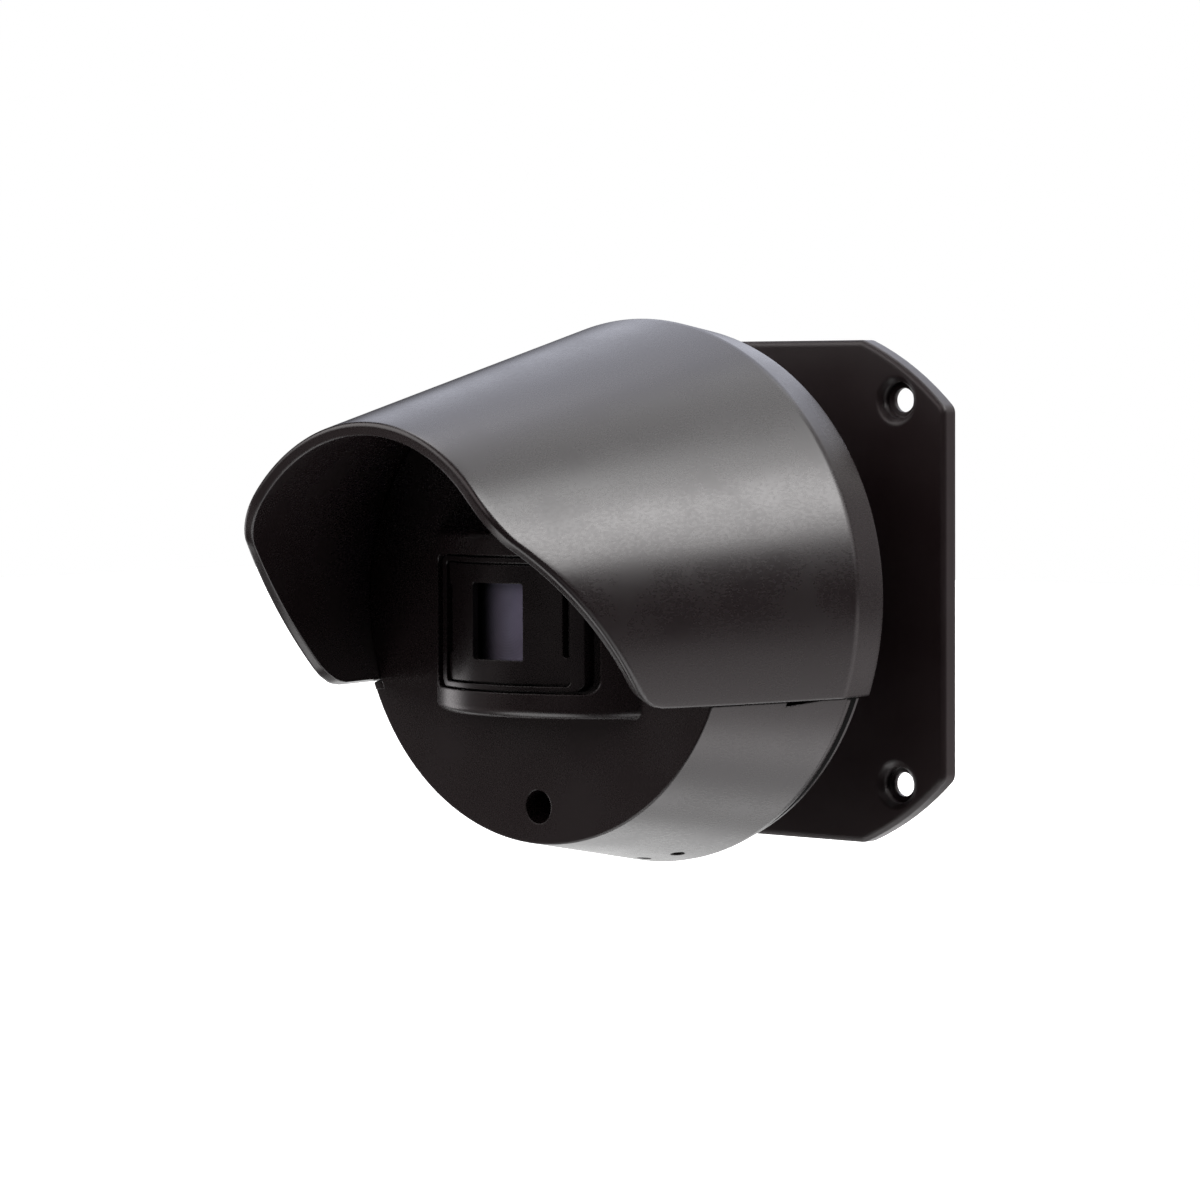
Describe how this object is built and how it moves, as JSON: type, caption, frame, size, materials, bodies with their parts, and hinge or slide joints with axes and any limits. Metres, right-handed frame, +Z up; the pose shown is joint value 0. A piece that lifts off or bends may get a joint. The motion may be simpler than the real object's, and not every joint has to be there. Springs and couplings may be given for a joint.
{
  "type": "sensor transmitter",
  "caption": "Outdoor passive infrared sensor and radio transmitter: a conical head with a rain hood and a lens turret on a swivelling wall plate.",
  "frame": {"origin": "centre of the wall plate's back, on the wall", "axes": "+Y into the wall, +Z up, +X to the right of someone who faces the sensor"},
  "size_m": [0.1084, 0.1148, 0.1073],
  "materials": {
    "housing_plastic": "satin moulded, near black brown",
    "frame_plastic": "fine matt, near black",
    "lens_film": "milky ribbed film",
    "zinc_steel": "zinc plated",
    "seal_rubber": "matt",
    "board_laminate": "solder mask",
    "sensor_can": "drawn",
    "sensor_filter": "polished",
    "lamp_plastic": "clear red",
    "module_can": "tinned",
    "antenna_copper": "bare copper",
    "chip_epoxy": "matt",
    "capacitor_sleeve": "glossy sleeve",
    "switch_can": "tinned",
    "lever_plastic": "matt",
    "dial_base_plastic": "glossy blue",
    "dial_plastic": "matt white",
    "battery_case": "printed wrap",
    "snap_vinyl": "matt",
    "lead_vinyl": "glossy",
    "pad_foam": "open foam"
  },
  "bodies": {
    "wall": {"wall_plate": "housing_plastic", "bracket_foot": "housing_plastic", "foot_screws": "zinc_steel", "pan_bolt": "zinc_steel", "pan_nut": "zinc_steel", "pan_washers": "zinc_steel"},
    "knuckle": {"swivel_block": "housing_plastic"},
    "head": {"tilt_bracket": "housing_plastic", "tilt_bracket_screws": "zinc_steel", "tilt_bolt": "zinc_steel", "tilt_nut": "zinc_steel", "tilt_washers": "zinc_steel", "rear_housing": "housing_plastic", "housing_seal": "seal_rubber", "circuit_board": "board_laminate", "board_screws": "zinc_steel", "sensor_spacer": "chip_epoxy", "pir_sensor": "sensor_can", "sensor_window": "sensor_filter", "indicator_lamp": "lamp_plastic", "radio_module": "module_can", "antenna_wire": "antenna_copper", "controller_chip": "chip_epoxy", "capacitors": "capacitor_sleeve", "mode_switch": "switch_can", "dial_base": "dial_base_plastic", "battery": "battery_case", "battery_snap": "snap_vinyl", "battery_leads": "lead_vinyl"},
    "front_cover": {"front_shell": "housing_plastic", "cover_screw": "zinc_steel", "hood": "housing_plastic", "hood_screws": "zinc_steel", "battery_pad": "pad_foam"},
    "lens": {"lens_carrier": "frame_plastic", "lens_mask": "frame_plastic", "fresnel_lens": "lens_film"},
    "mode": {"mode_lever": "lever_plastic"},
    "dial": {"range_dial": "dial_plastic"}
  },
  "joints": [
    {"name": "head_pan", "type": "hinge", "parent": "wall", "child": "knuckle", "pos_m": [0, -0.0125, 0], "axis": [0, 0, 1], "range_deg": [-15, 15]},
    {"name": "head_tilt", "type": "hinge", "parent": "knuckle", "child": "head", "pos_m": [0, -0.019, 0], "axis": [1, 0, 0], "range_deg": [-15, 15]},
    {"name": "cover_off", "type": "slide", "parent": "head", "child": "front_cover", "axis": [0, -1, 0], "range_m": [0, 0.06]},
    {"name": "lens_pan", "type": "hinge", "parent": "front_cover", "child": "lens", "pos_m": [0, -0.04665, -0.004], "axis": [0, 0, 1], "range_deg": [-4.5, 4.5]},
    {"name": "mode_slide", "type": "slide", "parent": "head", "child": "mode", "axis": [1, 0, 0], "range_m": [0, 0.002]},
    {"name": "dial_turn", "type": "hinge", "parent": "head", "child": "dial", "pos_m": [0.024, -0.0436, 0.006], "axis": [0, -1, 0], "range_deg": [-135, 135]}
  ]
}
